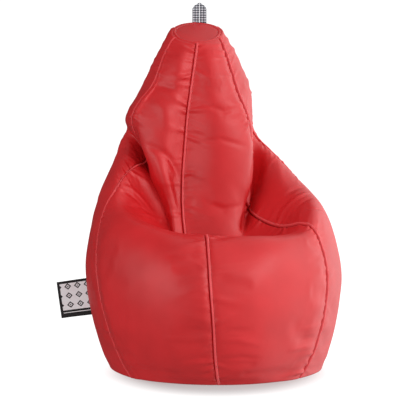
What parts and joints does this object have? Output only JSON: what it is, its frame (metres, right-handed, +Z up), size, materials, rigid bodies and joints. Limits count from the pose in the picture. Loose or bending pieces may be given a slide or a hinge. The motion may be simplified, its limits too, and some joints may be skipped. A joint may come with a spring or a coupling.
{
  "type": "bean bag chair",
  "caption": "Pear-shaped bean bag chair in red leatherette with a formed seat hollow, a tall back rest, a round top cap, a webbing carry loop and a woven side label.",
  "frame": {"origin": "on the floor, at the middle of the base", "axes": "+Z up, -Y towards the front of the seat, +X to the right as seen from the front"},
  "size_m": [0.9054, 0.8116, 1.16],
  "materials": {
    "red_leatherette": "smooth synthetic leather with a soft sheen",
    "black_base_cloth": "woven, matt",
    "woven_label": "woven, light grey with a black border",
    "checked_webbing": "woven, grey and white check",
    "black_nylon": "satin",
    "blackened_zinc": "black, satin",
    "hook_and_loop": "napped",
    "liner_cloth": "non-woven, off-white",
    "polystyrene_beads": "white beads"
  },
  "bodies": {
    "bag": {"panel_front_left": "red_leatherette", "panel_front_right": "red_leatherette", "panel_side_left": "red_leatherette", "panel_side_right": "red_leatherette", "panel_back_left": "red_leatherette", "panel_back_right": "red_leatherette", "top_cap": "red_leatherette", "base_front_panel": "black_base_cloth", "base_rear_panel": "black_base_cloth", "zip_tape_front": "black_base_cloth", "zip_tape_rear": "black_base_cloth", "zip_teeth_front": "black_nylon", "zip_teeth_rear": "black_nylon", "zip_stop_left": "blackened_zinc", "zip_stop_right": "blackened_zinc", "inner_liner": "liner_cloth", "liner_closure": "hook_and_loop", "bead_fill": "polystyrene_beads"},
    "label": {"side_label": "woven_label"},
    "loop": {"carry_loop": "checked_webbing"},
    "slider": {"zip_slider": "blackened_zinc"}
  },
  "joints": [
    {"name": "label_flip", "type": "hinge", "parent": "bag", "child": "label", "pos_m": [-0.36631, 0.15521, 0.20765], "axis": [-0.2048, -0.1229, 0.9711], "range_deg": [-60, 45], "stiffness_Nm_per_rad": 0.004},
    {"name": "loop_flop", "type": "hinge", "parent": "bag", "child": "loop", "pos_m": [-0.052, 0.2037, 1.098], "axis": [1, 0, 0], "range_deg": [-80, 50], "stiffness_Nm_per_rad": 0.02},
    {"name": "zip_slide", "type": "slide", "parent": "bag", "child": "slider", "axis": [1, 0, 0], "range_m": [0, 0.473]}
  ]
}
